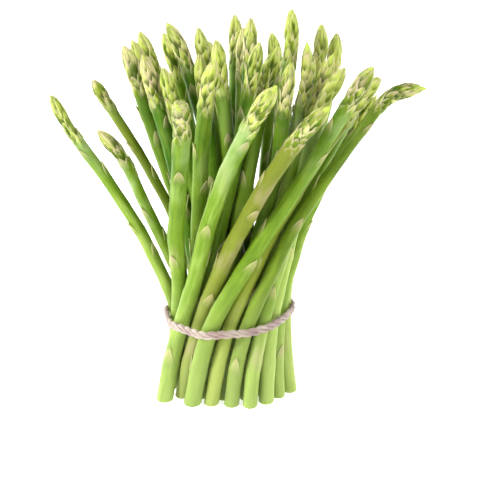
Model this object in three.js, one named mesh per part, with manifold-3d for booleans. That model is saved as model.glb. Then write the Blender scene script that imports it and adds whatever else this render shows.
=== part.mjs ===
// A bundle of green asparagus spears, tied at the waist with twine and standing on its cut ends.
// Millimetres, +Z up. The list below places the spears round the middle of the tie; the whole
// group is then moved so that the origin is on the surface, below the middle of its outline.
import * as THREE from 'three';
import { mergeVertices } from 'three/addons/utils/BufferGeometryUtils.js';
import Module from 'manifold-3d';

const wasm = await Module();
wasm.setup();

// ---- driving dimensions of the bundle ----
const tieHeight = 50; // middle of the twine above the cut ends
const tieSlope = 0.05; // the loop sits a little higher on its +X side
const footSpread = new THREE.Vector2(1.25, 0.85); // how much further out the cut ends stand, x and y
const footTwist = THREE.MathUtils.degToRad(-15); // the spiral below the tie, clockwise from above
const footMiddle = new THREE.Vector2(-1.5, -1); // the bundle leans a little, so its feet are off centre
const tieGrip = 0.6; // how far the upper slope of a stem carries on through the tie
const clearance = 0.5; // air between neighbours
const pressedLip = 0.7; // how much of a scale's lip counts when neighbours are pressed together

// ---- driving dimensions of a spear ----
const sides = 8;
const lowBract = 22; // the lowest bract, above the cut end
const aboveTie = 66; // the next, clear of the twine; the others divide the stem from here up
const bractLip = 0.9; // how far the tip of a stem bract stands off the stem
const bractReach = 6; // how far that tip points up past its base
const bractFlank = 0.45; // how far the vertices beside the tip stand off, as a share of it
const bractSpacing = [0, 0.37, 0.74]; // from the bract above the tie (0) to the head's base (1)
const usualHead = 30; // length of the head
const usualBulge = 1.22; // widest part of the head, as a ratio of the stem's radius there
const bulgeRise = 1.4; // above 1 the widest part is nearer to the tip
const tipSharpness = 4; // above 1 the head keeps its width for longer
const tipBluntness = 0.72; // below 1 the tip is rounder
const scaleRows = 6; // in the head
const bareTip = 6; // the scales stop this far below the tip
const rowCrowding = 1.15; // above 1 the rows are closer together towards the tip
const rowShrink = 0.45; // how much smaller the scales are by the tip, from 0 to 1
const scaleLip = 0.75; // how far the tips of the head scales stand out
const scaleReach = 3.2; // how far they point up past the notches between them
const lipThickness = 0.7; // height of the step under a scale
const stepIn = 0.15; // how far the step goes in past the stem's surface, as a share of the lip
const usualNeck = 0.86; // the stem's radius at the head, as a ratio of that at the cut end
const nodHeight = 40; // the top part of a spear over which its head nods
const goldenAngle = Math.PI * (3 - Math.sqrt(5));

// ---- driving dimensions of the twine ----
const twineRadius = 2.7; // half its height; it is pressed flatter against the stems
const twineFlatness = 0.5;
const twineTurn = 16; // length of one full turn of its two plies
const cordSlack = 0.2; // how far it stands off the stems, besides the clearance
const knotRadius = 2.7; // of each of the two turns in the knot
const knotCord = 1.5;
const knotLean = 0.45; // how far the two turns cross, radians
// the two ends, from the knot at the back: out from the bundle (y), along it (x) and up (z)
const twineEnds = [
  [[0, 0, 0], [4, 3, 1], [9, 5, -2], [13, 5, -9], [14, 5, -18], [17, 6, -26]],
  [[0, 0, 0], [-4, 3, 1], [-9, 5, 0], [-13, 6, -5], [-16, 6, -13]],
];

// Each spear has a place in the waist (ring radius and angle in degrees, counter-clockwise from
// +X), a tip (x, y, z) and a stem radius at the cut end. Some have a nod (x, y) of the head past the
// stem, a bow (x, y) of the stem half way up to the tip, a foot moved (x, y) from its usual place,
// a head, neck or bulge of another size, or a hook: the points that a head which hangs over goes
// on through, past the tip.
const outerRing = 28;
const innerRing = 18.8;
const coreRing = 9.4;
const dropping = [[84, -24, 182], [92, -24, 185.5], [106, -24, 187]]; // out to the right
const bowing = [[-24, -54, 181], [-24.5, -60, 185], [-26, -67, 185.5]]; // out to the front
const slimNeck = { neck: 0.7, bulge: 1.45 };
const spears = [
  // outer ring, from the front round by the right
  {
    ring: outerRing, angle: 268, tip: [82, -16, 191], radius: 4.3, nod: [6, 0], bow: [-3, 0],
    neck: 0.78,
  },
  {
    ring: outerRing, angle: 286, tip: [80, -24, 176], radius: 4.4, bow: [-5.5, 0],
    hook: dropping, neck: 0.62, bulge: 1.6,
  },
  { ring: outerRing, angle: 304, tip: [82, -5, 190], radius: 4.2, nod: [6, 0], bow: [-3, 0] },
  { ring: outerRing, angle: 323, tip: [64, 0, 194], radius: 4.5, nod: [8, 0] },
  { ring: outerRing, angle: 342, tip: [84, 17, 176], radius: 4.1, bow: [-4.5, 0], ...slimNeck },
  { ring: outerRing, angle: 2, tip: [61, 37, 208], radius: 4.5, nod: [-2, 0] },
  { ring: outerRing, angle: 24, tip: [52, 32, 214], radius: 4.3, nod: [-6, 0], bow: [4, 0] },
  { ring: outerRing, angle: 49, tip: [24, 54, 206], radius: 4.5, nod: [-5, 0] },
  { ring: outerRing, angle: 76, tip: [-14, 60, 200], radius: 4.5, nod: [0, 5] },
  { ring: outerRing, angle: 103, tip: [-40, 44, 207], radius: 4.5, nod: [-3.5, 0] },
  {
    ring: outerRing, angle: 131, tip: [-78, 12, 185], radius: 3.2, bow: [3.5, 0], head: 19,
    neck: 0.8, bulge: 1.4,
  },
  { ring: 32, angle: 173, tip: [-99, -8, 181], radius: 4.0, nod: [5, 0], neck: 0.74 },
  {
    ring: outerRing, angle: 160, tip: [-71, -28, 165], radius: 3.9, nod: [-8, 0], bow: [-4, 0],
    head: 26, ...slimNeck,
  },
  { ring: outerRing, angle: 192, tip: [-24, -50, 174], radius: 5.0, bow: [-6, -2], hook: bowing },
  {
    ring: outerRing, angle: 210, tip: [24.5, -62, 196], radius: 4.9, nod: [5, 0], bow: [-7, 0],
    foot: [-2, -12],
  },
  { ring: outerRing, angle: 230, tip: [52, -56, 184], radius: 4.8, nod: [8, 0], bow: [-2.5, 0] },
  {
    ring: outerRing, angle: 249, tip: [75, -41, 202], radius: 5.1, bow: [2.5, 0], head: 27,
    ...slimNeck,
  },
  // inner ring
  { ring: innerRing, angle: 5, tip: [43, 18, 206], radius: 4.4, nod: [-7, 0] },
  { ring: innerRing, angle: 37, tip: [2, 49, 217], radius: 4.3, bow: [-5, 0] },
  { ring: innerRing, angle: 68, tip: [-37, 29, 215], radius: 4.4, nod: [-6, 0] },
  { ring: innerRing, angle: 99, tip: [-52, 23, 211], radius: 4.5 },
  { ring: innerRing, angle: 127, tip: [-58, -4, 207], radius: 4.6, bow: [-4, 0] },
  { ring: innerRing, angle: 152, tip: [-47, -12, 203], radius: 4.5 },
  { ring: innerRing, angle: 179, tip: [-7, -38, 205], radius: 4.7, nod: [4, 0], bow: [-3, 0] },
  { ring: innerRing, angle: 206, tip: [16, -18, 211], radius: 4.4, bow: [3, 0] },
  { ring: innerRing, angle: 243, tip: [27, -6, 207], radius: 4.5, nod: [4, 0] },
  { ring: innerRing, angle: 282, tip: [33, -22, 201], radius: 4.3, bow: [6, 0] },
  { ring: innerRing, angle: 312, tip: [58, 15, 200], radius: 4.4 },
  { ring: innerRing, angle: 340, tip: [34, 20, 224], radius: 4.3, nod: [-3.5, 0] },
  // core
  { ring: coreRing, angle: 0, tip: [11.5, 28, 218], radius: 4.2, bow: [-1.5, 0] },
  { ring: coreRing, angle: 50, tip: [7, 38, 211], radius: 4.3 },
  { ring: coreRing, angle: 105, tip: [-55, 9, 208], radius: 4.3 },
  { ring: coreRing, angle: 155, tip: [-36, -16, 197], radius: 4.3 },
  { ring: coreRing, angle: 230, tip: [-17, 1, 202], radius: 4.3 },
  { ring: coreRing, angle: 300, tip: [-7, -9, 211], radius: 4.4, bow: [0, 1] },
  { ring: 0, angle: 0, tip: [-19, 25, 213], radius: 4.3, nod: [-2, 0] },
];

// ---- where the spears run ----

// The plan position, at height z, of a springy stem held at its foot, at the tie and at its tip:
// a cubic on each side of the tie, free to turn at its outer end, plus the nod of the head.
function stemPlan(spear, z) {
  const [tipX, tipY, tipZ] = spear.tip;
  const centre = new THREE.Vector2();
  const nod = new THREE.Vector2(...(spear.nod ?? [0, 0]));
  const waist = new THREE.Vector2(spear.ring, 0)
    .rotateAround(centre, THREE.MathUtils.degToRad(spear.angle));
  const foot = waist.clone().rotateAround(centre, footTwist).multiply(footSpread).add(footMiddle);
  foot.add(new THREE.Vector2(...(spear.foot ?? [0, 0])));
  const top = new THREE.Vector2(tipX, tipY).sub(nod);
  const isBelow = z < tieHeight;
  const span = isBelow ? -tieHeight : tipZ - tieHeight;
  const end = isBelow ? foot : top;
  const slopeBelow = waist.clone().sub(foot).divideScalar(tieHeight);
  const slopeAbove = top.clone().sub(waist).divideScalar(tipZ - tieHeight);
  const slope = slopeBelow.lerp(slopeAbove, tieGrip);
  const t = (z - tieHeight) / span;
  const bend = end.clone().sub(waist).addScaledVector(slope, -span);
  const bow = new THREE.Vector2(...(spear.bow ?? [0, 0]));
  const bowing = isBelow ? 0 : Math.sin(Math.PI * t) ** 2;
  const nodding = Math.max(0, (z - tipZ + nodHeight) / nodHeight) ** 3;
  return waist.clone()
    .addScaledVector(slope, z - tieHeight)
    .addScaledVector(bend, (3 * t ** 2 - t ** 3) / 2)
    .addScaledVector(bow, bowing)
    .addScaledVector(nod, nodding);
}

// How far the surface reaches from the centreline, this far below the tip of a spear this long.
function reach(spear, fromTip, length) {
  const lip = fromTip < headLength(spear) ? scaleLip : bractLip;
  return bareRadius(spear, fromTip, length) + lip * pressedLip;
}

function headLength(spear) {
  return spear.head ?? usualHead;
}

// The radius of the stem, or of the head without the lips of its scales.
function bareRadius(spear, fromTip, length) {
  const inHead = THREE.MathUtils.clamp(1 - fromTip / headLength(spear), 0, 1);
  const neck = spear.neck ?? usualNeck;
  const stem = spear.radius * THREE.MathUtils.lerp(neck, 1, fromTip / length);
  return stem * headShape(inHead, spear.bulge ?? usualBulge);
}

// The head's radius over the stem's, from its base (0) to its tip (1).
function headShape(t, bulge) {
  const swell = 1 + (bulge - 1) * Math.sin(Math.PI * t ** bulgeRise);
  return swell * Math.max(0, 1 - t ** tipSharpness) ** tipBluntness;
}

// The gap between segments a0-a1 and b0-b1, with where it is on each.
function closest(a0, a1, b0, b1) {
  const u = a1.clone().sub(a0);
  const v = b1.clone().sub(b0);
  const w = a0.clone().sub(b0);
  const uu = u.dot(u);
  const uv = u.dot(v);
  const vv = v.dot(v);
  const uw = u.dot(w);
  const vw = v.dot(w);
  const det = Math.max(uu * vv - uv * uv, 1e-9);
  let s = THREE.MathUtils.clamp((uv * vw - vv * uw) / det, 0, 1);
  const t = THREE.MathUtils.clamp((uv * s + vw) / vv, 0, 1);
  s = THREE.MathUtils.clamp((uv * t - uw) / uu, 0, 1);
  const offset = w.addScaledVector(u, s).addScaledVector(v, -t);
  return { s, t, offset };
}

// Moves knots sideways by pairs until no two stems press into each other.
function pressApart(paths) {
  let worst = 0;
  for (let i = 0; i < paths.length; i += 1) {
    for (let j = i + 1; j < paths.length; j += 1) {
      for (let a = 1; a < paths[i].knots.length; a += 1) {
        for (let b = Math.max(1, a - 1); b <= Math.min(paths[j].knots.length - 1, a + 1); b += 1) {
          worst = Math.max(worst, pressPair(paths[i], a, paths[j], b));
        }
      }
    }
  }
  return worst;
}

function pressPair(first, a, second, b) {
  const [a0, a1] = [first.knots[a - 1], first.knots[a]];
  const [b0, b1] = [second.knots[b - 1], second.knots[b]];
  const { s, t, offset } = closest(a0, a1, b0, b1);
  const room = THREE.MathUtils.lerp(first.reach[a - 1], first.reach[a], s)
    + THREE.MathUtils.lerp(second.reach[b - 1], second.reach[b], t) + clearance;
  const gap = offset.length();
  if (gap >= room) return 0;
  const push = offset.setZ(0).normalize().multiplyScalar((room - gap) / 2);
  a0.addScaledVector(push, 1 - s);
  a1.addScaledVector(push, s);
  b0.addScaledVector(push, t - 1);
  b1.addScaledVector(push, -t);
  return room - gap;
}

// A stem springs back towards its own natural bend, and a little towards its own place.
function springBack(path, stiffness) {
  const { knots, rest } = path;
  const pull = 0.02;
  for (let k = 1; k < knots.length - 1; k += 1) {
    const bend = knots[k - 1].clone().add(knots[k + 1]).multiplyScalar(0.5).sub(knots[k]);
    const natural = rest[k - 1].clone().add(rest[k + 1]).multiplyScalar(0.5).sub(rest[k]);
    const change = bend.sub(natural).multiplyScalar(stiffness);
    knots[k].add(change);
    knots[k - 1].addScaledVector(change, -0.5);
    knots[k + 1].addScaledVector(change, -0.5);
  }
  for (let k = 0; k < knots.length; k += 1) {
    knots[k].lerp(rest[k], pull);
    knots[k].z = rest[k].z;
  }
}

// The settled centrelines, one smooth curve a spear.
function settleSpears() {
  const knotSpacing = 15;
  const rounds = 160;
  const mostRounds = 200;
  const settled = 0.02;
  const stemStiffness = 0.5;
  const paths = spears.map((spear) => {
    const count = Math.round(spear.tip[2] / knotSpacing);
    const rest = Array.from({ length: count + 1 }, (_, k) => {
      const z = (spear.tip[2] * k) / count;
      const plan = stemPlan(spear, z);
      return new THREE.Vector3(plan.x, plan.y, z);
    });
    const hook = (spear.hook ?? []).map((point) => new THREE.Vector3(...point));
    const along = new THREE.CatmullRomCurve3(rest).getLengths(count);
    const length = new THREE.CatmullRomCurve3([...rest, ...hook]).getLength();
    const reaches = along.map((s) => reach(spear, length - s, length));
    return { rest, hook, knots: rest.map((point) => point.clone()), reach: reaches };
  });
  for (let round = 0; round < rounds; round += 1) {
    const easing = 1 - round / rounds;
    paths.forEach((path) => springBack(path, stemStiffness * easing));
    pressApart(paths);
  }
  let press = pressApart(paths);
  for (let round = 0; round < mostRounds && press > settled; round += 1) press = pressApart(paths);
  return paths.map(({ knots, hook }) => (
    new THREE.CatmullRomCurve3([...knots, ...hook], false, 'centripetal')));
}

// ---- one spear ----

// The rings of vertices up a spear: at each row of scales a lip ring, whose vertices carry the
// scale tips, and a ring just above it that steps back in to the stem.
function spearRings(length, head, turn) {
  const rings = [{ s: 0, lift: () => 0, rise: () => 0 }];
  const headBase = length - head;
  const upperBracts = bractSpacing.map((t) => THREE.MathUtils.lerp(aboveTie, headBase, t));
  const bracts = [lowBract, ...upperBracts];
  const row = (s, lip, climb, tipShare) => {
    const rise = (side) => climb * tipShare(side);
    rings.push({ s, lift: (side) => lip * tipShare(side), rise });
    rings.push({ s: s + lipThickness, lift: () => -lip * stepIn, rise });
  };
  const plain = { s: tieHeight, lift: () => 0, rise: () => 0 };
  bracts.forEach((s, k) => {
    if (k === 1) rings.push(plain);
    const middle = Math.round(((turn + k * goldenAngle) / (2 * Math.PI)) * sides);
    row(s, bractLip, bractReach, (side) => {
      const away = Math.abs(((side - middle) % sides + sides + sides / 2) % sides - sides / 2);
      return [1, bractFlank][away] ?? 0;
    });
  });
  for (let k = 0; k < scaleRows; k += 1) {
    const up = k / scaleRows;
    const s = headBase + (head - bareTip) * (1 - (1 - up) ** rowCrowding);
    const size = 1 - rowShrink * up;
    row(s, scaleLip * size, scaleReach * size, (side) => (side + k) % 2);
  }
  return rings;
}

// A lathed stem, its vertices lifted into scales, bent along the centreline, and cut flat at z = 0.
function spearGeometry(spear, curve, index) {
  const length = curve.getLength();
  const rings = spearRings(length, headLength(spear), index * goldenAngle);
  const profile = [
    new THREE.Vector2(0, 0),
    ...rings.map(({ s }) => new THREE.Vector2(bareRadius(spear, length - s, length), s)),
    new THREE.Vector2(0, length),
  ];
  const geometry = new THREE.LatheGeometry(profile, sides);
  const position = geometry.getAttribute('position');
  const normal = new THREE.Vector3(1, 0, 0);
  let tangent = new THREE.Vector3(0, 0, 1);
  for (let level = 0; level < profile.length; level += 1) {
    const next = curve.getTangentAt(profile[level].y / length);
    normal.applyQuaternion(new THREE.Quaternion().setFromUnitVectors(tangent, next));
    tangent = next;
    const binormal = normal.clone().cross(tangent);
    const ring = rings[level - 1];
    for (let side = 0; side <= sides; side += 1) {
      const at = side * profile.length + level;
      const point = new THREE.Vector3();
      if (ring) {
        const lifted = profile[level].x + ring.lift(side % sides);
        const angle = (side / sides) * 2 * Math.PI;
        const s = Math.min(length, profile[level].y + ring.rise(side % sides));
        point.copy(curve.getPointAt(s / length))
          .addScaledVector(normal, lifted * Math.sin(angle))
          .addScaledVector(binormal, lifted * Math.cos(angle));
      } else {
        point.copy(curve.getPointAt(profile[level].y / length));
      }
      if (profile[level].y === 0) point.addScaledVector(tangent, -point.z / tangent.z);
      position.setXYZ(at, point.x, point.y, point.z);
    }
  }
  return geometry;
}

function spearMaterial(index) {
  const middleHue = 0.235;
  const hueSpread = 0.025;
  const hue = middleHue + hueSpread * Math.sin(index * goldenAngle * 2);
  const color = new THREE.Color().setHSL(hue, 0.55, 0.46);
  return new THREE.MeshStandardMaterial({ color, roughness: 0.45, metalness: 0 });
}

// ---- the twine ----

// The plan outline round all the stems at the tie, kept off them by the twine's own thickness.
function twinePath(curves) {
  const steps = 72;
  const stemSamples = 200;
  const offset = twineRadius * twineFlatness + clearance + cordSlack;
  const discs = spears.flatMap((spear, i) => {
    const isUnderTwine = (point) => Math.abs(point.z - tieHeight - tieSlope * point.x) < twineRadius;
    const middles = curves[i].getSpacedPoints(stemSamples).filter(isUnderTwine);
    return middles.map((middle) => ({ middle, radius: spear.radius }));
  });
  const points = Array.from({ length: steps }, (_, k) => {
    const angle = (k / steps) * 2 * Math.PI;
    const out = new THREE.Vector3(Math.cos(angle), Math.sin(angle), 0);
    const span = ({ middle, radius }) => middle.dot(out) + radius;
    const furthest = discs.reduce((best, disc) => (span(disc) > span(best) ? disc : best));
    const point = furthest.middle.clone().addScaledVector(out, furthest.radius + offset);
    return point.setZ(tieHeight + tieSlope * point.x);
  });
  return new THREE.CatmullRomCurve3(points, true, 'centripetal');
}

// A closed two-ply cord: a tube whose section is two-lobed, turns as it goes and is pressed flat.
function twineLoop(path) {
  const rings = 84;
  const around = 6;
  const waistOfLobes = 0.68;
  const turns = Math.round(path.getLength() / twineTurn);
  const geometry = new THREE.TubeGeometry(path, rings, twineRadius, around, true);
  const position = geometry.getAttribute('position');
  const up = new THREE.Vector3(0, 0, 1);
  for (let ring = 0; ring <= rings; ring += 1) {
    const along = (ring % rings) / rings;
    const middle = path.getPointAt(along);
    const tangent = path.getTangentAt(along);
    const outward = tangent.clone().cross(up).normalize();
    for (let side = 0; side <= around; side += 1) {
      const at = ring * (around + 1) + side;
      const isLobe = side % (around / 2) === 0;
      const offset = new THREE.Vector3().fromBufferAttribute(position, at).sub(middle);
      offset.multiplyScalar(isLobe ? 1 : waistOfLobes);
      offset.applyAxisAngle(tangent, (ring / rings) * turns * 2 * Math.PI);
      offset.addScaledVector(outward, offset.dot(outward) * (twineFlatness - 1));
      offset.add(middle);
      position.setXYZ(at, offset.x, offset.y, offset.z);
    }
  }
  return geometry;
}

// One free end of the twine, running out of the knot.
function twineEnd(points) {
  const section = new THREE.Shape();
  section.absellipse(0, 0, knotCord, knotCord, 0, 2 * Math.PI);
  const path = new THREE.CatmullRomCurve3(points.map((point) => new THREE.Vector3(...point)));
  const options = { steps: 9, curveSegments: 3, bevelEnabled: false, extrudePath: path };
  return new THREE.ExtrudeGeometry(section, options);
}

// The knot: two turns round the loop, crossed, with the free ends drawn through them.
function twineKnot() {
  const turn = (lean) => new THREE.TorusGeometry(knotRadius, knotCord, 6, 10)
    .rotateY(Math.PI / 2 + lean);
  return [turn(knotLean), turn(-knotLean), ...twineEnds.map(twineEnd)];
}

function solidOf(geometry) {
  const bare = geometry.index ? geometry.toNonIndexed() : geometry;
  bare.deleteAttribute('normal');
  bare.deleteAttribute('uv');
  const merged = mergeVertices(bare, 1e-4);
  const triVerts = new Uint32Array(merged.index.array);
  return new wasm.Manifold(
    new wasm.Mesh({ numProp: 3, vertProperties: merged.getAttribute('position').array, triVerts }),
  );
}

function geometryOf(solid) {
  const { vertProperties, triVerts } = solid.getMesh();
  return new THREE.BufferGeometry()
    .setAttribute('position', new THREE.BufferAttribute(vertProperties, 3))
    .setIndex(new THREE.BufferAttribute(triVerts, 1));
}

function twineGeometry(curves) {
  const samples = 200;
  const path = twinePath(curves);
  const behind = path.getSpacedPoints(samples).filter((point) => point.y > 0);
  const back = behind.reduce((best, point) => (Math.abs(point.x) < Math.abs(best.x) ? point : best));
  const knot = twineKnot().map((piece) => piece.translate(back.x, back.y + knotRadius, back.z));
  const fused = knot.reduce((whole, piece) => whole.add(solidOf(piece)), solidOf(twineLoop(path)));
  return geometryOf(fused);
}

const group = new THREE.Group();
const curves = settleSpears();
spears.forEach((spear, i) => {
  const mesh = new THREE.Mesh(spearGeometry(spear, curves[i], i), spearMaterial(i));
  mesh.name = `spear_${String(i + 1).padStart(2, '0')}`;
  group.add(mesh);
});
const twine = new THREE.Mesh(
  twineGeometry(curves),
  new THREE.MeshStandardMaterial({ color: 0xd3c1bd, roughness: 0.9, metalness: 0 }),
);
twine.name = 'twine_tie';
group.add(twine);

// The origin is on the surface below the middle of the whole outline.
const middle = new THREE.Box3().setFromObject(group).getCenter(new THREE.Vector3());
group.position.set(-middle.x, -middle.y, 0);

export default group;
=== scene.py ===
import math
import random

import bmesh
import bpy
import numpy as np
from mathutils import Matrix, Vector, noise


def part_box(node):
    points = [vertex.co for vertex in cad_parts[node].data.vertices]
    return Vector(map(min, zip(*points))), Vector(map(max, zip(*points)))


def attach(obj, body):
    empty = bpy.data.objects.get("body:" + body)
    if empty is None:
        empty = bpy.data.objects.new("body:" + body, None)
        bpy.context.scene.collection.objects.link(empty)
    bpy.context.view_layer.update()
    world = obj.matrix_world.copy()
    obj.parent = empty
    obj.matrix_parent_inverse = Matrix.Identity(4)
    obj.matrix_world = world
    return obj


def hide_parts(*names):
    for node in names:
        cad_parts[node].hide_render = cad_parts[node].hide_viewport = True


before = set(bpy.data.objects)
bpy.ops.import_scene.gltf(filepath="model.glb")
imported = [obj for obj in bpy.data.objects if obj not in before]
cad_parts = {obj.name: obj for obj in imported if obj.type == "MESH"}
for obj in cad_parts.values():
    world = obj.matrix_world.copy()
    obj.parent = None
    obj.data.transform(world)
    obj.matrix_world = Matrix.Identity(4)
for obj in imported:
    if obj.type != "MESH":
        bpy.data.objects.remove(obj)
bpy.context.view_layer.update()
scene = bpy.context.scene
goldenAngle = math.pi * (3 - math.sqrt(5))
mm = 0.001
closeEnough = 0.001 * mm  # points nearer to each other than this are one


def smooth(edge0, edge1, x):  # 0 below edge0, 1 above edge1, eased in between
    t = min(1.0, max(0.0, (x - edge0) / (edge1 - edge0)))
    return t * t * (3 - 2 * t)


def blend(a, b, t):
    return a + (b - a) * t


# camera

cameraView = {
    "target": (7.7 * mm, 3.5 * mm, 87.2 * mm),
    "distance": 650 * mm,
    "elevation": math.radians(19),
    "lens": 80,  # millimetres, as the sensor's width
    "sensor": 36,
    "nearest": 10 * mm,
}


def placeCamera():
    data = bpy.data.cameras.new("camera")
    data.lens = cameraView["lens"]
    data.sensor_width = cameraView["sensor"]
    data.clip_start = cameraView["nearest"]
    camera = bpy.data.objects.new("camera", data)
    scene.collection.objects.link(camera)
    rise = cameraView["elevation"]
    back = Vector((0, -math.cos(rise), math.sin(rise)))
    camera.location = Vector(cameraView["target"]) + back * cameraView["distance"]
    camera.rotation_euler = (-back).to_track_quat("-Z", "Y").to_euler()
    scene.camera = camera


placeCamera()
print("camera placed")


# shader helpers


def colour(text):  # "#rrggbb" as a linear colour
    values = [int(text[i : i + 2], 16) / 255 for i in (1, 3, 5)]
    linear = [v / 12.92 if v <= 0.04045 else ((v + 0.055) / 1.055) ** 2.4 for v in values]
    return (*linear, 1.0)


class Wire:  # an output socket of numbers, so that shader sums read as plain arithmetic
    def __init__(self, shader, socket):
        self.shader = shader
        self.socket = socket

    def __add__(self, other):
        return self.shader.math("ADD", self, other)

    def __radd__(self, other):
        return self.shader.math("ADD", other, self)

    def __sub__(self, other):
        return self.shader.math("SUBTRACT", self, other)

    def __rsub__(self, other):
        return self.shader.math("SUBTRACT", other, self)

    def __mul__(self, other):
        return self.shader.math("MULTIPLY", self, other)

    def __rmul__(self, other):
        return self.shader.math("MULTIPLY", other, self)


class Shader:  # one material and the nodes in it
    def __init__(self, name, **fixed):
        self.material = bpy.data.materials.new(name)
        self.material.use_nodes = True
        self.tree = self.material.node_tree
        self.surface = self.tree.nodes["Principled BSDF"]
        for socket, value in fixed.items():
            self.surface.inputs[socket.replace("_", " ")].default_value = value

    # values go to the first sockets in their order, and inputs to sockets by name
    def node(self, kind, settings=None, *values, out=0, **inputs):
        made = self.tree.nodes.new("ShaderNode" + kind)
        for name, value in (settings or {}).items():
            if name == "stops":
                self.setStops(made.color_ramp, value)
            else:
                setattr(made, name, value)
        for socket, value in zip(made.inputs, values):
            self.feed(socket, value)
        for name, value in inputs.items():
            wanted = [s for s in made.inputs if name in (s.identifier, s.name.replace(" ", ""))]
            self.feed(wanted[0], value)
        return Wire(self, made.outputs[out])

    def setStops(self, ramp, stops):
        while len(ramp.elements) < len(stops):
            ramp.elements.new(1.0)
        for element, (place, value) in zip(ramp.elements, stops):
            element.position = place
            element.color = colour(value)

    def feed(self, socket, value):
        if isinstance(value, Wire):
            self.tree.links.new(value.socket, socket)
        else:
            socket.default_value = value

    def math(self, operation, *values):
        return self.node("Math", {"operation": operation}, *values)

    def attribute(self, name):
        return self.node("Attribute", {"attribute_name": name}, out=1)

    def split(self, vector):
        first = self.node("SeparateXYZ", None, vector)
        return [Wire(self, output) for output in first.socket.node.outputs]

    def join(self, x, y, z):
        return self.node("CombineXYZ", X=x, Y=y, Z=z)

    def noise(self, vector, scale, detail):
        return self.node("TexNoise", Vector=vector, Scale=scale, Detail=detail)

    def ease(self, value, low, high):  # 0 below low and 1 above high
        settings = {"interpolation_type": "SMOOTHSTEP"}
        return self.node("MapRange", settings, Value=value, FromMin=low, FromMax=high)

    def mix(self, factor, a, b):
        settings = {"data_type": "RGBA", "clamp_factor": True}
        return self.node("Mix", settings, out=2, Factor_Float=factor, A_Color=a, B_Color=b)

    def ramp(self, value, stops):
        return self.node("ValToRGB", {"stops": stops}, Fac=value)

    def bump(self, height, strength, distance):
        return self.node("Bump", Height=height, Strength=strength, Distance=distance)

    def finish(self, **ends):
        for socket, wire in ends.items():
            self.feed(self.surface.inputs[socket.replace("_", " ")], wire)
        return self.material


# asparagus skin

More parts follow.
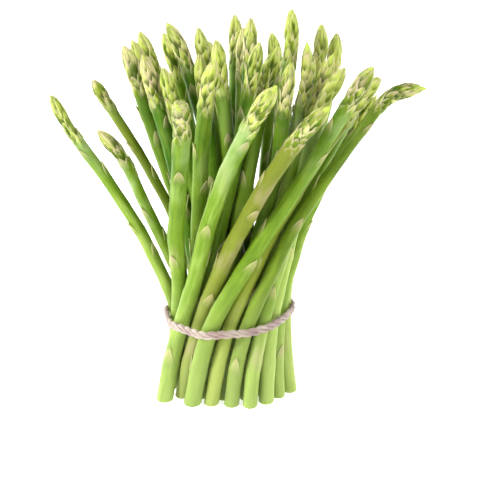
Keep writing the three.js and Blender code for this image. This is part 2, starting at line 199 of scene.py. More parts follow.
skin = {
    "colours": {
        "deep": "#315e04",  # the stem's shade runs from deep through stem to light
        "stem": "#63861c",
        "light": "#98b155",
        "foot": "#aebd76",
        "wax": "#9db47c",
        "yellow": "#a8983c",
        "blush": "#a98a80",
        "scaleDeep": "#5b7408",
        "scale": "#aebd54",
        "scaleEdge": "#dad2a8",
        "scaleTip": "#cfb0a0",
        "bud": "#9fb548",
        # painted shade in the head's crevices, under and between its scales
        "crevice": "#374d06",
        "bract": "#b8aa7c",
        "bractEdge": "#d5dc9c",
        "heart": "#d9dca6",
    },
    "finish": {  # the same all over
        "Subsurface_Weight": 0.12,
        "Subsurface_Scale": 4 * mm,
        "Subsurface_Radius": (0.8, 1.0, 0.2),
        "IOR": 1.45,
        "Specular_IOR_Level": 0.14,
        "Sheen_Weight": 0.06,
        "Sheen_Roughness": 0.35,
        "Sheen_Tint": colour("#e4f0a8"),
    },
    "grain": {  # each pattern's scale and detail
        "fibres": (1500, 2.0),
        "streaks": (420, 3.0),
        "patches": (90, 2.0),
        "specks": (1300, 1.0),
        "bands": (48, 1.0),
        "mottle": (330, 2.0),
        "clumps": (150, 1.0),
        "dots": (1600, 0.0),
    },
    "stretch": {  # how fast a pattern changes along the stem, where across it is 1
        "fibres": 0.035,
        "streaks": 0.12,
        "patches": 0.5,
        "specks": 0.7,
        "mottle": 0.35,
        "clumps": 0.6,
    },
    "drift": 3.7,  # how far apart two spears' patterns lie
    "bandDrift": 9,
    "stemSwing": {"patches": 0.7, "streaks": 0.9, "fibres": 0.3, "bands": 0.3},
    "scaleSwing": {"mottle": 2.4, "clumps": 1.4, "streaks": 2.0},
    "spans": {  # between which values each thing sets in
        "foot": (0 * mm, 100 * mm),  # above the foot, as the next
        "cut": (0.2 * mm, 0.8 * mm),
        "heart": (3.0 * mm, 4.2 * mm),  # from the middle of the stem
        "shadow": (35 * mm, 110 * mm),  # below the tip, as the next two
        "wax": (40 * mm, 85 * mm),
        "bud": (4 * mm, 11 * mm),
        "waxyPatch": (0.40, 0.70),  # values of a pattern, as the next six
        "blushing": (0.62, 0.85),
        "speck": (0.70, 0.78),
        "scaleShade": (0.05, 0.85),
        "warm": (0.62, 0.90),
        "papery": (0.40, 0.70),
        "dot": (0.60, 0.68),
        "waxyStem": (0.15, 0.5),  # lightness, as the next
        "openHead": (0.8, 1.4),
        "core": (0.06, 0.25),  # along the head
        "rim": (0.35, 1.2),  # from the middle of a leaf to its edge, as the next
        "bractEdge": (0.5, 1.0),
        "tip": (0.55, 1.0),  # from the root of a leaf to its tip, as the next three
        # painted shade on a scale where the next ones cover it
        "covered": (0.12, 0.56),
        "rooted": (0.15, 0.8),
        "bractRoot": (0.1, 0.8),
        "isBract": (0.2, 0.4),  # kind: 0 is the stem, 0.5 a bract and 1 a scale, up to 2 for one
        "isHead": (0.7, 0.9),  # that grows out of the stem
        "low": (1.05, 1.95),
    },
    "uneven": {  # how far a pattern shifts the places above
        "foot": 0.04,
        "rim": 1.6,
        "tip": 0.6,
        "covered": 0.8,
        "blush": 0.35,
        "papery": 0.3,
    },
    "amounts": {
        "lighter": 0.07,
        "shadow": 0.16,  # how much darker a stem is painted below its head, as the head's shadow
        "yellow": 0.7,
        "foot": 0.42,
        "wax": 0.5,
        "blush": 0.5,
        "blushLeast": 0.25,
        "specks": 0.35,
        "core": 0.8,
        "scaleDarker": 0.1,
        "scaleYellow": 0.5,
        "scaleEdge": 0.55,
        "scaleWarm": 0.40,
        "scaleTip": 0.22,
        "scaleTipBlush": 0.7,
        "bud": 0.3,
        # painted shade where scales cover one another, then how much less of it at a rim, on the
        # lowest scales, on open heads and in the closed bud
        "crevice": 0.86,
        "creviceAtRim": 0.35,  # how much less of it there is here, as the next three
        "creviceInLow": 0.85,
        "creviceInOpen": 0.5,
        "creviceInBud": 0.3,
        "rooted": 0.9,
        "papery": 0.7,
        "bractStem": 0.52,
        "bractEdge": 0.25,
        "bractRoot": 0.95,
        "dots": 0.5,
    },
    "bump": {"strength": 0.35, "depth": 0.6 * mm, "fibres": 0.6, "streaks": 0.8, "patches": 0.5},
    "roughness": {"usual": 0.40, "streaks": 0.25, "rim": 0.12, "foot": 0.08},
}


def makeSkin():
    s = Shader("asparagusSkin", **skin["finish"])
    tint = {name: colour(text) for name, text in skin["colours"].items()}
    stretch, uneven, amounts = skin["stretch"], skin["uneven"], skin["amounts"]
    bump, rough = skin["bump"], skin["roughness"]

    def pattern(name, x, y, z):
        return s.noise(s.join(x, y, z), *skin["grain"][name])

    def past(name, value):  # 0 before the span of that name and 1 after it
        return s.ease(value, *skin["spans"][name])

    fromFoot, fromTip, seed = s.split(s.attribute("place"))
    across, along, kind = s.split(s.attribute("leaf"))
    lightness, yellowness, blush = s.split(s.attribute("tone"))
    x, y, z = s.split(s.attribute("grown"))
    drift = seed * skin["drift"]
    edge = s.math("ABSOLUTE", across)

    # lengthwise fibres and streaks, small specks, soft patches and bands
    patterns = {
        "fibres": pattern("fibres", x + drift, y, z * stretch["fibres"]),
        "streaks": pattern("streaks", x, y + drift, z * stretch["streaks"]),
        "patches": pattern("patches", x, y, z * stretch["patches"] + drift),
        "specks": pattern("specks", x, y + drift, z * stretch["specks"]),
        "bands": pattern("bands", drift * skin["bandDrift"], 0.0, z),
        "mottle": pattern("mottle", x, y + drift, z * stretch["mottle"]),
        "clumps": pattern("clumps", x, y, z * stretch["clumps"] + drift),
    }
    fibres, streaks, patches = patterns["fibres"], patterns["streaks"], patterns["patches"]
    mottle, clumps = patterns["mottle"], patterns["clumps"]

    # stem: green, paler towards the foot, darker below the head with painted shade, and there waxy in
    # patches
    shade = lightness
    for name, swing in skin["stemSwing"].items():
        shade = shade + (patterns[name] - 0.5) * swing
    shade = shade + amounts["lighter"] - (1 - past("shadow", fromTip)) * amounts["shadow"]
    colours = skin["colours"]
    stem = s.ramp(shade, [(0.0, colours["deep"]), (0.5, colours["stem"]), (1.0, colours["light"])])
    stem = s.mix(yellowness * amounts["yellow"], stem, tint["yellow"])
    pale = 1 - past("foot", fromFoot + (streaks - 0.5) * uneven["foot"])
    stem = s.mix(pale * amounts["foot"], stem, tint["foot"])
    waxy = (1 - past("wax", fromTip)) * past("waxyPatch", patches) * past("waxyStem", lightness)
    stem = s.mix(waxy * amounts["wax"], stem, tint["wax"])
    blushing = past("blushing", patches + blush * uneven["blush"]) * (blush + amounts["blushLeast"])
    stem = s.mix(blushing * amounts["blush"], stem, tint["blush"])
    stem = s.mix(past("speck", patterns["specks"]) * amounts["specks"], stem, tint["light"])

    # the core of the head, where along is the place in the head, shows only between the scales and is
    # painted dark there as shade
    closed = 1 - past("bud", fromTip)
    core = s.mix(past("core", along) * amounts["core"], stem, tint["crevice"])
    core = s.mix(closed, core, tint["scale"])

    # head scales: soft lime with pale edges, with painted shade where the next ones cover them; the
    # lowest of them, where low is 1, grow out of the stem in its own colour
    rim = past("rim", edge + (mottle - 0.5) * uneven["rim"])
    scaleShade = lightness - amounts["scaleDarker"]
    for name, swing in skin["scaleSwing"].items():
        scaleShade = scaleShade + (patterns[name] - 0.5) * swing
    scale = s.mix(past("scaleShade", scaleShade), tint["scaleDeep"], tint["scale"])
    scale = s.mix(yellowness * amounts["scaleYellow"], scale, tint["yellow"])
    scale = s.mix(rim * amounts["scaleEdge"], scale, tint["scaleEdge"])
    warm = past("warm", clumps + blush * uneven["blush"])
    scale = s.mix(warm * amounts["scaleWarm"], scale, tint["scaleTip"])
    tipward = past("tip", along + (mottle - 0.5) * uneven["tip"])
    tipBlush = blush * amounts["scaleTipBlush"] + amounts["scaleTip"]
    scale = s.mix(tipward * tipBlush, scale, tint["scaleTip"])
    scale = s.mix(closed * amounts["bud"], scale, tint["bud"])
    low = past("low", kind)
    # painted shade where the next scales cover this one
    covered = 1 - past("covered", along + (mottle - 0.5) * uneven["covered"])
    covered = covered * (1 - rim * amounts["creviceAtRim"])
    covered = covered * (1 - low * amounts["creviceInLow"])
    covered = covered * (1 - past("openHead", lightness) * amounts["creviceInOpen"])
    covered = covered * (amounts["crevice"] - closed * amounts["creviceInBud"])
    scale = s.mix(covered, scale, tint["crevice"])
    scale = s.mix(low * (1 - past("rooted", along)) * amounts["rooted"], scale, stem)

    # stem bracts: papery, with a faint pale outline, and green at the root
    papery = past("papery", patches + blush * uneven["papery"])
    bract = s.mix(papery * amounts["papery"], tint["bract"], tint["blush"])
    bract = s.mix(amounts["bractStem"], bract, stem)
    bract = s.mix(past("bractEdge", edge) * amounts["bractEdge"], bract, tint["bractEdge"])
    bract = s.mix((1 - past("bractRoot", along)) * amounts["bractRoot"], bract, stem)

    isHead = past("isHead", kind)
    isBract = past("isBract", kind) * (1 - isHead)
    skinColour = s.mix(isHead, s.mix(isBract, core, bract), scale)

    # the cut end: a pale heart with the ends of the fibres
    radius = s.math("SQRT", x * x + y * y)
    cut = (1 - past("cut", fromFoot)) * (1 - past("heart", radius))
    dots = past("dot", pattern("dots", x + drift, y, 0.0))
    heart = s.mix(dots * amounts["dots"], tint["heart"], tint["stem"])
    skinColour = s.mix(cut, skinColour, heart)

    ridges = fibres * bump["fibres"] + streaks * (isHead + bump["streaks"])
    ridges = ridges + patches * bump["patches"]
    normal = s.bump(ridges, bump["strength"], bump["depth"])
    roughness = rough["usual"] + (streaks - 0.5) * rough["streaks"]
    roughness = roughness + rim * isHead * rough["rim"] + pale * rough["foot"]
    return s.finish(Base_Color=skinColour, Roughness=roughness, Normal=normal)


# reading a spear from the frame

march = {
    "step": 4 * mm,
    "level": 3,  # the first cuts are level, as the foot is
    "nearby": 12 * mm,  # a cut further away than this is another part of a bent spear
    "flat": 0.01 * mm,  # what is lower than this belongs to the cut end
    "spacing": 1 * mm,
    "easing": 30,
    "girthCut": 3,  # the cut that the stem's thickness is measured at
    "sides": 8,  # of the frame's stems
}


def mergedCopy(nodeName):
    solid = bmesh.new()
    solid.from_mesh(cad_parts[nodeName].data)
    bmesh.ops.remove_doubles(solid, verts=solid.verts, dist=closeEnough)
    return solid


def cutThrough(solid, point, facing):  # middle and length of the outline where a plane cuts a solid
    section = solid.copy()
    parts = section.verts[:] + section.edges[:] + section.faces[:]
    cut = bmesh.ops.bisect_plane(section, geom=parts, plane_co=point, plane_no=facing)["geom_cut"]
    edges = [
        (edge.calc_length(), (edge.verts[0].co + edge.verts[1].co) / 2)
        for edge in cut
        if isinstance(edge, bmesh.types.BMEdge)
    ]
    section.free()
    near = [(length, middle) for length, middle in edges if (middle - point).length < march["nearby"]]
    outline = sum(length for length, _ in near)
    if outline < closeEnough:
        return None, 0
    return sum((middle * length for length, middle in near), Vector()) / outline, outline


def measureSpear(nodeName):
    solid = mergedCopy(nodeName)
    foot = [v.co for v in solid.verts if v.co.z < march["flat"]]
    points = [sum(foot, Vector()) / len(foot)]
    heading = Vector((0, 0, 1))
    girth = 0
    while True:
        guess = points[-1] + heading * march["step"]
        facing = Vector((0, 0, 1)) if len(points) < march["level"] else heading
        middle, outline = cutThrough(solid, guess, facing)
        if middle is None:
            break
        if len(points) == march["girthCut"]:
            girth = outline
        heading = (middle - points[-1]).normalized()
        points.append(middle)
    last = points[-1]
    near = [v.co for v in solid.verts if (v.co - last).length < march["nearby"]]
    tip = max(near, key=lambda co: (co - last).dot(heading))
    if (tip - last).length < march["step"] / 2:
        points.pop()
    points.append(tip.copy())
    solid.free()
    radius = girth / (2 * march["sides"] * math.sin(math.pi / march["sides"]))
    return layLine(points), radius


def layLine(points):  # a smooth line with a turning frame at each step of its length
    knots = np.array([tuple(p) for p in points])
    lengths = np.concatenate([[0], np.cumsum(np.linalg.norm(np.diff(knots, axis=0), axis=1))])
    count = int(lengths[-1] / march["spacing"])
    places = np.linspace(0, lengths[-1], count + 1)
    line = np.stack([np.interp(places, lengths, knots[:, k]) for k in range(3)], axis=1)
    for _ in range(march["easing"]):
        line[1:-1] = (line[:-2] + 2 * line[1:-1] + line[2:]) / 4
    steps = np.linalg.norm(np.diff(line, axis=0), axis=1)
    reach = np.concatenate([[0], np.cumsum(steps)])
    tangents = np.gradient(line, axis=0)
    tangents /= np.linalg.norm(tangents, axis=1)[:, None]
    side = np.array([1.0, 0.0, 0.0])
    sides = []
    for tangent in tangents:
        side = side - tangent * side.dot(tangent)
        side = side / np.linalg.norm(side)
        sides.append(side)
    sides = np.array(sides)
    return {
        "length": float(reach[-1]),
        "reach": reach,
        "points": line,
        "tangents": tangents,
        "sides": sides,
        "fronts": np.cross(tangents, sides),
    }


footCut = {"levelled": 14 * mm}  # the length over which the stem is sheared to stand flat


def bendAlong(mesh, line):  # moves a straight mesh, grown up the z axis, onto the line
    count = len(mesh.vertices)
    flat = np.empty(count * 3)
    mesh.vertices.foreach_get("co", flat)
    flat = flat.reshape(-1, 3)
    height = flat[:, 2]
    inside = np.clip(height, 0, line["length"])

    def at(name):
        return np.stack([np.interp(inside, line["reach"], line[name][:, k]) for k in range(3)], axis=1)

    tangents = at("tangents")
    tangents /= np.linalg.norm(tangents, axis=1)[:, None]
    bent = at("points") + at("sides") * flat[:, :1] + at("fronts") * flat[:, 1:2]
    bent += tangents * (height - inside)[:, None]
    lean = (at("sides") * flat[:, :1] + at("fronts") * flat[:, 1:2])[:, 2] / tangents[:, 2]
    bent -= tangents * (lean * np.clip(1 - height / footCut["levelled"], 0, 1))[:, None]
    mesh.vertices.foreach_set("co", bent.astype(np.float32).ravel())
    mesh.update()


def asMesh(bm, name):
    mesh = bpy.data.meshes.new(name)
    bm.to_mesh(mesh)
    bm.free()
    return mesh


# one spear, grown straight up the z axis

stemShape = {
    "segments": 24,
    "ringGap": 4.5 * mm,
    "headRingGap": 2.5 * mm,
    "closerBelow": 6 * mm,  # how far below the head its closer rings begin
    "lastGap": 3 * mm,  # no ring is added above one that is this close to the tip
    "lastRing": 0.6 * mm,  # rings end this far below the tip
    "pole": 0.3 * mm,  # and the core this far
    "footBevel": 1.3 * mm,
    "bevelSteps": 4,
    "bulgeRise": 1.4,
    "tipSharpness": 4,
    "bluntness": 0.72,
    "coreShare": 0.80,  # how much of the head's width the core under the scales has
    "coreFrom": 0.2,  # reached this far up the head
    "nodeSwell": 0.055,
    "nodeSwellLength": 4 * mm,
    "waver": 0.02,  # a real stem is never quite round or straight-sided
    "waverAcross": 160,
    "waverAlong": 45,
    "waverApart": 9.1,  # between one spear and the next
    "waverFrom": (2 * mm, 12 * mm),
    "sharpEdge": math.radians(50),
}

# the head's length, the stem's radius there over that at the foot, how far the head bulges past
# it, and how crowded its scales are; then the spears that differ
usualBuild = {"head": 30 * mm, "neck": 0.86, "bulge": 1.22, "crowd": 1}

builds = {
    1: {"neck": 0.78},
    2: {"neck": 0.62, "bulge": 1.6, "crowd": 1.35},
    5: {"neck": 0.7, "bulge": 1.45, "crowd": 1.2},
    11: {"neck": 0.8, "bulge": 1.4, "head": 19 * mm},
    12: {"neck": 0.74, "bulge": 1.1},
    13: {"neck": 0.7, "bulge": 1.45, "head": 26 * mm},
    14: {"crowd": 1.1},
    15: {"crowd": 1.15},
    16: {"crowd": 1.3},
    17: {"neck": 0.7, "bulge": 1.45, "head": 27 * mm, "crowd": 1.2},
    18: {"head": 37 * mm, "crowd": 1.15},
    28: {"head": 36 * mm, "crowd": 1.15},
}

bractShape = {
    "first": 22 * mm,
    "aboveTie": 66 * mm,
    "places": (0, 0.2, 0.37, 0.56, 0.74, 0.88, 0.97),  # from above the tie to the head's base
    "length": (12 * mm, 10 * mm),  # of the lowest and of the highest
    "lengthRange": (0.9, 1.15),
    "halfWrap": 0.95,  # half its width at the base, in radians round the stem
    "thickness": 0.45 * mm,
    "cup": 0.15 * mm,
    "lift": 1.15 * mm,
    "liftRange": (0.4, 1.2),
    "rootBelow": 1 * mm,
    "sink": 0.45 * mm,
    "columns": 6,
    "rows": 6,
}

# the head's side buds, each under a pointed scale, and the closed bud at its tip
budShape = {
    "count": 23,
    "span": (-5.5 * mm, 16.5 * mm),  # of their bases, above the head's base
    "length": (10.5 * mm, 12 * mm),
    "halfWidth": (2.5 * mm, 2.3 * mm),
    "thickness": 0.35 * mm,
    "cup": (0.45 * mm, 0.8 * mm),
    "flare": (0.7 * mm, 0.3 * mm),
    "blended": 0.35,  # the lowest of them, this share, grow out of the stem as bracts do
    "columns": 4,
    "rows": 7,
}

tipShape = {
    "count": 11,
    "span": (12 * mm, 20 * mm),
    "length": (15 * mm, 9.8 * mm),
    "halfWidth": (2.0 * mm, 1.4 * mm),
    "thickness": 0.4 * mm,
    "cup": (0.9 * mm, 0.6 * mm),
    "flare": (0.5 * mm, 0.15 * mm),
    "blended": 0,
}


def headSwell(spear, t):  # the head's radius over the stem's, from its base (0) to its tip (1)
    swell = 1 + (spear["bulge"] - 1) * math.sin(math.pi * t ** stemShape["bulgeRise"])
    return swell * max(0, 1 - t ** stemShape["tipSharpness"]) ** stemShape["bluntness"]


def stemRadius(spear, s):
    return spear["radius"] * blend(1, spear["neck"], s / spear["length"])


def inHead(spear, s):
    return min(1, max(0, 1 - (spear["length"] - s) / spear["head"]))


def coreRadius(spear, s):  # the stem itself, which the head's scales cover
    t = inHead(spear, s)
    swell = headSwell(spear, t) * blend(1, stemShape["coreShare"], smooth(0, stemShape["coreFrom"], t))
    nodes = sum(math.exp(-(((s - b) / stemShape["nodeSwellLength"]) ** 2)) for b in spear["bracts"])
    return stemRadius(spear, s) * swell * (1 + stemShape["nodeSwell"] * nodes)


def bractPlaces(length, head):
    low, high = bractShape["aboveTie"], length - head
    return [bractShape["first"]] + [blend(low, high, t) for t in bractShape["places"]]


def growStem(spear):
    bm = bmesh.new()
    bevel, steps = stemShape["footBevel"], stemShape["bevelSteps"]
    length = spear["length"]
    outline = [(0, 0)]
    for k in range(steps + 1):
        turn = math.pi / 2 * k / steps
        outline.append((bevel * (1 - math.cos(turn)), spear["radius"] - bevel * (1 - math.sin(turn))))
    headBase = length - spear["head"]
    s = bevel
    while s < length - stemShape["lastGap"]:
        isBelow = s < headBase - stemShape["closerBelow"]
        s += stemShape["ringGap"] if isBelow else stemShape["headRingGap"]
        if s < length - stemShape["lastRing"]:
            outline.append((s, coreRadius(spear, s)))
    outline.append((length - stemShape["pole"], 0))
    verts = [bm.verts.new((radius, 0, s)) for s, radius in outline]
    edges = [bm.edges.new(pair) for pair in zip(verts, verts[1:])]
    bmesh.ops.spin(
        bm,
        geom=verts + edges,
        cent=(0, 0, 0),
        axis=(0, 0, 1),
        angle=2 * math.pi,
        steps=stemShape["segments"],
        use_merge=True,
    )
    bmesh.ops.remove_doubles(bm, verts=bm.verts, dist=closeEnough)
    bmesh.ops.recalc_face_normals(bm, faces=bm.faces)
    acrossScale, alongScale = stemShape["waverAcross"], stemShape["waverAlong"]
    apart = spear["index"] * stemShape["waverApart"]
    for v in bm.verts:
        where = (v.co.x * acrossScale, v.co.y * acrossScale, v.co.z * alongScale + apart)
        away = smooth(*stemShape["waverFrom"], v.co.z)
        widened = 1 + stemShape["waver"] * noise.noise(Vector(where)) * away
        v.co.x *= widened
        v.co.y *= widened
    return asMesh(bm, "stem")


# the outlines of a scale and of a bract, and how a leaf stands off the stem
leafForm = {
    "lance": {"point": 1.6, "width": (0.85, 1.15), "widest": 0.3},
    "triangle": {"point": 1.3, "fullness": 0.85},
    "keel": 1.6,  # how flat the cup is across the middle
    "cupRise": 0.8,  # how near the root the cup is fullest
    "flareRise": 2.5,  # how late the tip bends out
    "sunkTo": 0.25,  # how far along the root comes out of the stem
    "thinnest": 0.55,  # radius that a leaf wraps round at least, over half its width
    "weld": 1e-5,  # of a blank, whose length is 1
    "edgeless": 1e-4,  # nearer the tip than this there is no across
}


def leafBlank(shape, outline):  # a flat leaf: x from -1 to 1 times its outline, y from 0 to 1
    bm = bmesh.new()
    columns, rows = shape["columns"], shape["rows"]
    bmesh.ops.create_grid(bm, x_segments=columns, y_segments=rows, size=0.5)
    for v in bm.verts:
        along = v.co.y + 0.5
        v.co = (v.co.x * 2 * outline(along), along, 0)
    bmesh.ops.remove_doubles(bm, verts=bm.verts, dist=leafForm["weld"])
    bmesh.ops.recalc_face_normals(bm, faces=bm.faces)
    bmesh.ops.solidify(bm, geom=bm.faces[:], thickness=1.0)
    bmesh.ops.recalc_face_normals(bm, faces=bm.faces)
    return asMesh(bm, "leafBlank")


def lanceOutline(along):
    lance = leafForm["lance"]
    width = blend(*lance["width"], smooth(0, lance["widest"], along))
    return max(0, 1 - along ** lance["point"]) * width


def triangleOutline(along):
    triangle = leafForm["triangle"]
    return max(0, 1 - along ** triangle["point"]) ** triangle["fullness"]


def addLeaf(bm, layers, blank, spear, leaf):
    first = len(bm.verts)
    bm.from_mesh(blank)
    bm.verts.ensure_lookup_table()
    thickness, halfWidth = leaf["shape"]["thickness"], leaf["halfWidth"]
    for v in bm.verts[first:]:
        along = min(1, max(0, v.co.y))
        half = leaf["outline"](along)
        across = v.co.x / half if half > leafForm["edgeless"] else 0
        depth = abs(v.co.z)  # 0 on the outside, 1 on the inside
        s = leaf["base"] + leaf["length"] * along
        keel = 1 - abs(across) ** leafForm["keel"]
        cup = keel * math.sin(math.pi * along ** leafForm["cupRise"])
        sunk = 1 - smooth(0, leafForm["sunkTo"], along)
        radius = coreRadius(spear, s) + thickness * (0.5 - depth)
        radius += leaf["flare"] * along ** leafForm["flareRise"]
        radius += leaf["cup"] * cup - leaf["sink"] * sunk
        wrapped = max(radius, halfWidth * leafForm["thinnest"])
        turn = leaf["azimuth"] + v.co.x * halfWidth / wrapped + leaf["skew"] * along
        v[layers["leaf"]] = (across, along, leaf["kind"])
        v[layers["tone"]] = leaf["tone"]
        v.co = (radius * math.cos(turn), radius * math.sin(turn), s)


# how single scales differ: as shares of the usual size, or to either side of the usual place
scaleVariety = {
    "length": (0.78, 1.2),
    "halfWidth": (0.75, 1.25),
    "flare": (0, 2),
    "base": 1 * mm,
    "turn": 0.25,
    "skew": 0.3,
    "tone": 0.25,
    "sink": (0.3 * mm, 0.8 * mm),  # of a usual one, and of one that grows out of the stem
    "endsBelow": 0.2 * mm,  # the tip
    "firstTurn": 1.3,  # from one spear's lowest scale to the next one's
}

usualGirth = 4.7 * mm  # radius of a head that the scales' sizes are meant for
spearCount = 36  # a spear's number over this is the seed of its patterns


def growSpear(nodeName, index, blanks, tone, headTone):
    line, radius = measureSpear(nodeName)
    length = line["length"]
    spear = {"index": index, "length": length, "radius": radius}
    spear.update(usualBuild | builds.get(index, {}))
    head = spear["head"]
    headGirth = radius * spear["neck"] * spear["bulge"] / usualGirth
    spear["bracts"] = bractPlaces(length, head)
    draw = random.Random(index)
    bm = bmesh.new()
    layers = {
        name: bm.verts.layers.float_vector.new(name) for name in ("grown", "place", "leaf", "tone")
    }

    for k, base in enumerate(spear["bracts"]):  # each on the far side of the one below
        up = k / (len(spear["bracts"]) - 1)
        azimuth = index * goldenAngle - math.pi / 2 + goldenAngle * (k + 1) / 2 + math.pi * (k % 2)
        leaf = {
            "shape": bractShape,
            "outline": triangleOutline,
            "kind": 0.5,
            "azimuth": azimuth,
            "base": base - bractShape["rootBelow"],
            "length": blend(*bractShape["length"], up) * draw.uniform(*bractShape["lengthRange"]),
            "halfWidth": bractShape["halfWrap"] * stemRadius(spear, base),
            "flare": bractShape["lift"] * draw.uniform(*bractShape["liftRange"]),
            "cup": bractShape["cup"],
            "sink": bractShape["sink"],
            "skew": 0,
            "tone": tone,
        }
        addLeaf(bm, layers, blanks["bract"], spear, leaf)

    variety = scaleVariety
    turn = index * variety["firstTurn"]
    for shape in (budShape, tipShape):
        count = round(shape["count"] * spear["crowd"])
        for k in range(count):
            up = k / (count - 1)
            turn += goldenAngle
            base = length - head + blend(*shape["span"], up) * head / usualBuild["head"]
            base += draw.uniform(-1, 1) * variety["base"]
            reach = blend(*shape["length"], up) * draw.uniform(*variety["length"]) / spear["crowd"]
            low = 1 - smooth(0, shape["blended"], up) if shape["blended"] else 0
            ownTone = [blend(a, b, low) for a, b in zip(headTone, tone)]
            azimuth = turn + draw.uniform(-1, 1) * variety["turn"]
            width = blend(*shape["halfWidth"], up) * draw.uniform(*variety["halfWidth"])
            leaf = {
                "shape": shape,
                "outline": lanceOutline,
                "kind": 1 + low,
                "azimuth": azimuth,
                "base": base,
                "length": min(reach, length - variety["endsBelow"] - base),
                "halfWidth": width * headGirth,
                "flare": blend(*shape["flare"], up) * draw.uniform(*variety["flare"]),
                "cup": blend(*shape["cup"], up),
                "sink": blend(*variety["sink"], low),
                "skew": draw.uniform(-1, 1) * variety["skew"],
                "tone": [v + draw.uniform(-1, 1) * variety["tone"] * (1 - low) for v in ownTone],
            }
            addLeaf(bm, layers, blanks["scale"], spear, leaf)

    first = len(bm.verts)
    stem = growStem(spear)
    bm.from_mesh(stem)
    bpy.data.meshes.remove(stem)
    bm.verts.ensure_lookup_table()
    for v in bm.verts[first:]:
        v[layers["leaf"]] = (0, inHead(spear, v.co.z), 0)
        v[layers["tone"]] = tone
    for v in bm.verts:
        v[layers["grown"]] = v.co
        v[layers["place"]] = (v.co.z, length - v.co.z, index / spearCount)
    mesh = asMesh(bm, f"spearLook_{index:02d}")
    bendAlong(mesh, line)
    mesh.shade_smooth()
    mesh.set_sharp_from_angle(angle=stemShape["sharpEdge"])
    piece = bpy.data.objects.new(mesh.name, mesh)
    scene.collection.objects.link(piece)
    return piece


# lightness, yellowness and blush: between which values they usually are, and then the stems and
# heads that differ from their neighbours
usualTones = {
    "seed": 100,
    "firstInner": 18,  # the stems from this one on are inside the bundle, and painted darker for the shade there
    "outerStem": ((0.3, 0.6), (0, 0.2), (0, 0.2)),
    "innerStem": ((0.12, 0.38), (0, 0.2), (0, 0.2)),
    "head": ((0.65, 0.95), (0, 0.25), (0, 0.5)),
}

stemTones = {
    1: (0.45, 0.45, 0.1),
    2: (0.16, 0.18, 0.0),
    3: (0.55, 0.05, 0.3),
    4: (0.8, 0.05, 0.1),
    6: (0.75, 0.1, 0.2),
    7: (0.75, 0.05, 0.2),
    11: (0.3, 0.35, 0.2),
    12: (0.55, 0.1, 0.1),
    13: (0.5, 0.1, 0.2),
    14: (0.4, 0.1, 0.2),
    15: (0.52, 0.05, 0.1),
    16: (0.0, 0.45, 0.35),
    17: (0.36, 0.1, 0.1),
    18: (0.6, 0.05, 0.2),
    28: (0.65, 0.1, 0.2),
    30: (0.1, 0.0, 0.0),
}

headTones = {
    2: (0.3, 0.1, 0.2),
    4: (1.25, 0.05, 0.35),
    6: (1.25, 0.1, 0.3),
    7: (1.25, 0.05, 0.4),
    11: (0.45, 0.3, 0.5),
    12: (0.6, 0.1, 0.1),
    13: (0.35, 0.2, 0.5),
    14: (0.0, 0.15, 0.4),
    15: (0.72, 0.1, 0.25),
    16: (0.3, 0.2, 0.25),
    17: (-0.1, 0.2, 0.35),
    18: (1.2, 0.1, 0.45),
    22: (0.4, 0.2, 0.6),
    23: (0.6, 0.2, 0.8),
    28: (1.25, 0.1, 0.5),
    29: (1.2, 0.05, 0.2),
    30: (0.9, 0.1, 0.5),
    31: (0.9, 0.1, 0.8),
}


def makeSpears():
    blanks = {
        "bract": leafBlank(bractShape, triangleOutline),
        "scale": leafBlank(budShape, lanceOutline),
    }
    finish = makeSkin()
    names = sorted(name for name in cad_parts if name.startswith("spear_"))
    for index, name in enumerate(names, start=1):
        draw = random.Random(usualTones["seed"] + index)
        # inner stems take tones that differ at random but are darker, painted shade for inside the
        # bundle
        place = "outerStem" if index < usualTones["firstInner"] else "innerStem"
        usualStem = [draw.uniform(*reach) for reach in usualTones[place]]
        usualHead = [draw.uniform(*reach) for reach in usualTones["head"]]
        tones = stemTones.get(index, usualStem), headTones.get(index, usualHead)
        piece = growSpear(name, index, blanks, *tones)
        piece.data.materials.append(finish)
        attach(piece, "root")
        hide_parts(name)
    for blank in blanks.values():
        bpy.data.meshes.remove(blank)
    print(len(names), "spears grown")


makeSpears()


# the twine

twineShape = {
    "cuts": 72,
    "finer": 4,  # points of the loop for each cut
    "oddCut": 1.25,  # an outline this much longer than usual runs through the knot
    "radius": 30 * mm,  # of the loop, roughly; the cuts find it
    "height": 50 * mm,  # of the loop's middle, and how much higher it is for each metre to the right
    "slope": 0.05,
    "tighter": 0.55 * mm,  # how far inside the frame's loop the plies lie, to touch the stems
    "plies": 3,
    "plyRadius": 1.2 * mm,
    "halfHeight": 1.45 * mm,  # how far the plies' middles are above and below the loop's
    "halfDepth": 0.4 * mm,
    "turn": 17 * mm,  # length of one full turn
    "around": 8,
    "ringGap": 1.2 * mm,
    "fewestRings": 6,
    "reach": 0.5 * mm,  # how far to either side the line's direction is taken from
    "steep": 0.9,  # where the line rises more than this, another axis turns its section
    "seam": 0.9999,  # past this the last ring of a closed ply is its first
    "knotRadius": 2.7 * mm,
    "knotLean": 0.45,
    "knotPoints": 40,
    "capHeight": 1.5 * mm,  # what is this close to the lowest point is the end's cap
    "ends": [
        [(0, 0, 0), (4, 3, 1), (9, 5, -2), (13, 5, -9), (14, 5, -18), (17, 6, -26)],
        [(0, 0, 0), (-4, 3, 1), (-9, 5, 0), (-13, 6, -5), (-16, 6, -13)],
    ],
}

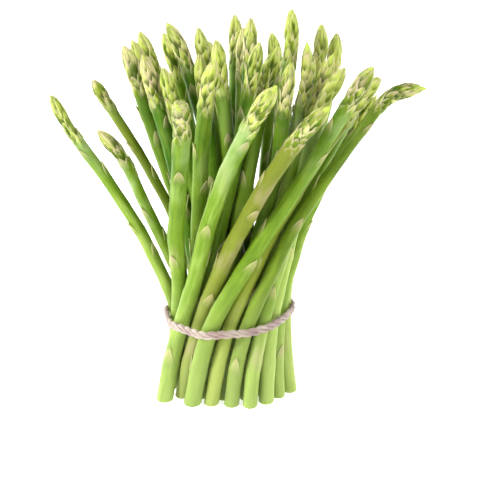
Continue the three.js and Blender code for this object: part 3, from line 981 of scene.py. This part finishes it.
twineFinish = {
    "pale": "#cdbfae",
    "mauve": "#a98e88",
    # dark is the colour of the painted shade between the strands
    "dark": "#705b54",
    "fibre": (3.5, 3.0),  # scale and detail, as the next two
    "strands": (2.0, 2.0),
    "tint": (110, 2.0),
    "tintSpan": (0.35, 0.65),
    "fibresAlong": 60,
    "fibreSlant": 0.2,
    "strandsAround": 6,
    "strandsAlong": 22,
    "gapSpan": (0.62, 0.35),
    "gaps": 0.6,  # how dark the painted shade between the strands is
    "fibreBump": 0.5,
    "bump": 0.8,
    "bumpDepth": 0.6 * mm,
    "roughness": 0.8,
    "roughnessSwing": 0.2,
    "sheen": {"Sheen_Weight": 0.3, "Sheen_Roughness": 0.5},
}


def makeTwineFinish():
    s = Shader("twineFibre", **twineFinish["sheen"])
    pale, mauve, dark = [colour(twineFinish[name]) for name in ("pale", "mauve", "dark")]
    u, v, _ = s.split(s.node("UVMap", {"uv_map": "UVMap"}))  # along a ply and round it
    turn = v * (2 * math.pi)
    ring = [s.math("COSINE", turn), s.math("SINE", turn)]
    along = u * twineFinish["fibresAlong"]
    slant = along * twineFinish["fibreSlant"]
    fibre = s.noise(s.join(ring[0] + slant, ring[1] - slant, along), *twineFinish["fibre"])
    around, along = twineFinish["strandsAround"], u * twineFinish["strandsAlong"]
    strands = s.noise(s.join(ring[0] * around, ring[1] * around, along), *twineFinish["strands"])
    tint = s.noise(s.node("TexCoord", out=3), *twineFinish["tint"])  # 3 is Object
    shade = s.mix(s.ease(tint, *twineFinish["tintSpan"]), mauve, pale)
    # painted shade in the gaps between the strands
    gaps = s.ease(strands, *twineFinish["gapSpan"])
    shade = s.mix(gaps * twineFinish["gaps"], shade, dark)
    ridges = fibre * twineFinish["fibreBump"] + strands
    normal = s.bump(ridges, twineFinish["bump"], twineFinish["bumpDepth"])
    roughness = twineFinish["roughness"] + (fibre - 0.5) * twineFinish["roughnessSwing"]
    return s.finish(Base_Color=shade, Roughness=roughness, Normal=normal)


def measureLoop():
    solid = mergedCopy("twine_tie")
    low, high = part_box("twine_tie")
    middle = (low + high) / 2
    middle.y = low.y + twineShape["radius"]  # the knot and the ends reach behind the loop
    cuts = []
    for k in range(twineShape["cuts"]):
        turn = 2 * math.pi * k / twineShape["cuts"]
        out = Vector((math.cos(turn), math.sin(turn), 0))
        guess = middle + out * twineShape["radius"]
        guess.z = loopHeight(guess.x)
        point, outline = cutThrough(solid, guess, out.cross(Vector((0, 0, 1))))
        cuts.append((turn, point, outline))
    solid.free()
    usual = sorted(outline for _, _, outline in cuts)[len(cuts) // 2]
    longest = usual * twineShape["oddCut"]
    clean = [(turn, point) for turn, point, outline in cuts if 0 < outline < longest]
    turns = [turn for turn, _ in clean]
    count = twineShape["cuts"] * twineShape["finer"]
    loop = []
    for k in range(count):
        turn = 2 * math.pi * k / count
        at = [np.interp(turn, turns, [p[i] for _, p in clean], period=2 * math.pi) for i in range(3)]
        point = Vector(at)
        inward = (middle - point).xy.normalized() * twineShape["tighter"]
        loop.append(point + inward.to_3d())
    return loop


def findKnot():  # the longer end hangs lowest of all, which says where it starts
    solid = mergedCopy("twine_tie")
    lowest = min(v.co.z for v in solid.verts)
    cap = [v.co for v in solid.verts if v.co.z < lowest + twineShape["capHeight"]]
    hanging = sum(cap, Vector()) / len(cap)
    solid.free()
    return hanging - Vector(twineShape["ends"][0][-1]) * mm


def loopHeight(x):
    return twineShape["height"] + twineShape["slope"] * x


def layTwine(bm, points, isClosed):  # plies of twisted yarn along a line of points
    if isClosed:
        points = points + points[:1]
    knots = np.array([tuple(p) for p in points])
    lengths = np.concatenate([[0], np.cumsum(np.linalg.norm(np.diff(knots, axis=0), axis=1))])
    length = lengths[-1]
    rings = max(twineShape["fewestRings"], round(length / twineShape["ringGap"]))
    turns = length / twineShape["turn"]
    turns = round(turns) if isClosed else turns

    def at(place):
        return Vector([np.interp(place, lengths, knots[:, k]) for k in range(3)])

    def lift(u, phase):  # a ply's middle, and the two directions across it
        place, reach = u * length, twineShape["reach"]
        tangent = (at(min(length, place + reach)) - at(max(0, place - reach))).normalized()
        up = Vector((0, 0, 1)) if abs(tangent.z) < twineShape["steep"] else Vector((0, 1, 0))
        out = tangent.cross(up).normalized()
        up = out.cross(tangent)
        angle = 2 * math.pi * turns * u + phase
        rise, swing = twineShape["halfHeight"], twineShape["halfDepth"]
        middle = at(place) + up * (rise * math.cos(angle)) + out * (swing * math.sin(angle))
        return middle, up, out

    for ply in range(twineShape["plies"]):
        phase = 2 * math.pi * ply / twineShape["plies"]
        made = bmesh.ops.create_grid(
            bm, x_segments=rings, y_segments=twineShape["around"], size=0.5, calc_uvs=True
        )["verts"]
        for v in made:
            u, turn = v.co.x + 0.5, (v.co.y + 0.5) * 2 * math.pi
            middle, up, out = lift(0 if isClosed and u > twineShape["seam"] else u, phase)
            radius = twineShape["plyRadius"]
            v.co = middle + (up * math.cos(turn) + out * math.sin(turn)) * radius
        bmesh.ops.remove_doubles(bm, verts=made, dist=closeEnough)


def makeTwine():
    bm = bmesh.new()
    bm.loops.layers.uv.new("UVMap")
    loop = measureLoop()
    layTwine(bm, loop, True)
    back = findKnot()
    for lean in (twineShape["knotLean"], -twineShape["knotLean"]):
        side = Vector((math.sin(lean), math.cos(lean), 0)) * twineShape["knotRadius"]
        up = Vector((0, 0, twineShape["knotRadius"]))
        count = twineShape["knotPoints"]
        turns = [2 * math.pi * k / count for k in range(count)]
        layTwine(bm, [back + side * math.cos(t) + up * math.sin(t) for t in turns], True)
    for end in twineShape["ends"]:
        layTwine(bm, [back + Vector(p) * mm for p in end], False)
    openEdges = [edge for edge in bm.edges if edge.is_boundary]
    bmesh.ops.holes_fill(bm, edges=openEdges)
    bmesh.ops.recalc_face_normals(bm, faces=bm.faces)
    mesh = asMesh(bm, "twineLook")
    mesh.shade_smooth()
    mesh.materials.append(makeTwineFinish())
    piece = bpy.data.objects.new("twineLook", mesh)
    scene.collection.objects.link(piece)
    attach(piece, "root")
    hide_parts("twine_tie")
    print("twine laid")


makeTwine()


# the floor and the light

studio = {
    "floorSize": 80,
    "floor": "#fafaf8",
    "floorRoughness": 0.6,
    "glow": 0.78,  # the floor's own light, so that it stays white far away
    "world": 0.26,
    "aim": (0, 0, 0.11),
    "lights": {
        "leftLight": {"place": (-1.3, 0.8, 0.5), "size": 0.9, "watts": 31},
        "rightLight": {"place": (1.4, 0.8, 0.6), "size": 0.9, "watts": 22},
        "frontLight": {"place": (-1.4, -0.9, 1.1), "size": 0.6, "watts": 43},
        "fillLight": {"place": (1.1, -1.2, 1.2), "size": 0.8, "watts": 16},
        "topLight": {"place": (0.2, -0.3, 1.7), "size": 0.8, "watts": 6},
    },
}


def lightStudio():
    world = bpy.data.worlds.new("paleRoom")
    world.use_nodes = True
    background = world.node_tree.nodes["Background"]
    background.inputs["Color"].default_value = (1, 1, 1, 1)
    background.inputs["Strength"].default_value = studio["world"]
    scene.world = world
    for name, light in studio["lights"].items():
        data = bpy.data.lights.new(name, "AREA")
        data.shape = "DISK"
        data.size = light["size"]
        data.energy = light["watts"]
        lamp = bpy.data.objects.new(name, data)
        lamp.location = light["place"]
        aim = Vector(studio["aim"]) - lamp.location
        lamp.rotation_euler = aim.to_track_quat("-Z", "Y").to_euler()
        scene.collection.objects.link(lamp)


def layFloor():
    bm = bmesh.new()
    bmesh.ops.create_grid(bm, x_segments=2, y_segments=2, size=studio["floorSize"] / 2)
    mesh = asMesh(bm, "floor")
    floor = bpy.data.objects.new("floor", mesh)
    scene.collection.objects.link(floor)
    s = Shader(
        "paleFloor",
        Roughness=studio["floorRoughness"],
        Base_Color=colour(studio["floor"]),
        Emission_Color=colour(studio["floor"]),
        Emission_Strength=studio["glow"],
    )
    mesh.materials.append(s.material)


layFloor()
lightStudio()
scene.view_settings.view_transform = "Standard"
print("floor and lights placed")
